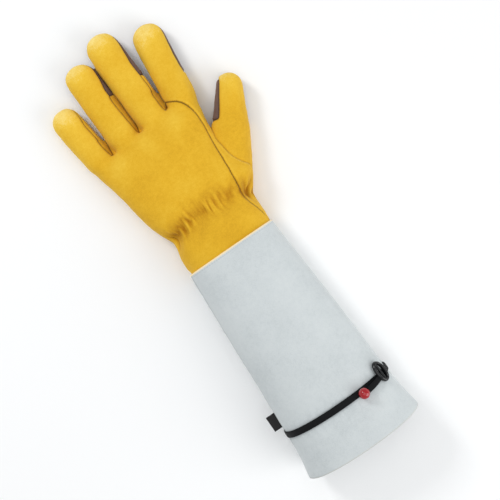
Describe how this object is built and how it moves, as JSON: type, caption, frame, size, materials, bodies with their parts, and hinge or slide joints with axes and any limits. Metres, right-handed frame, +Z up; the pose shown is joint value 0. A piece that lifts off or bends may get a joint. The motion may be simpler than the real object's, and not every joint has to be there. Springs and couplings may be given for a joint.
{
  "type": "gardening glove",
  "caption": "Long leather gardening glove for the left hand: gathered wrist, wide open cuff with elastic strap, slide and bead, and brown fingertip patches.",
  "frame": {"origin": "middle of the glove's box, on the surface that it lies on", "axes": "+Z up from the surface through the back of the hand, +Y from the hem to the fingertips, +X to the thumb side"},
  "size_m": [0.1514, 0.399, 0.0658],
  "materials": {
    "yellow_leather": "matt napped split leather",
    "brown_leather": "matt napped split leather",
    "grey_leather": "matt napped split leather",
    "black_elastic": "flat woven elastic",
    "black_plastic": "glossy moulded plastic",
    "red_bead": "clear glossy red",
    "black_label": "woven, bare"
  },
  "bodies": {
    "root": {"back_panel": "yellow_leather", "index_panel": "yellow_leather", "palm_panel": "yellow_leather", "fourchette_little_ring": "yellow_leather", "fourchette_ring_middle": "yellow_leather", "fourchette_middle_index": "yellow_leather", "thumb_back": "yellow_leather", "thumb_front": "yellow_leather", "ring_patch": "brown_leather", "middle_patch": "brown_leather", "index_patch": "brown_leather", "thumb_patch": "brown_leather", "cuff": "grey_leather", "strap": "black_elastic", "slide": "black_plastic", "bead": "red_bead", "label": "black_label"}
  },
  "joints": []
}
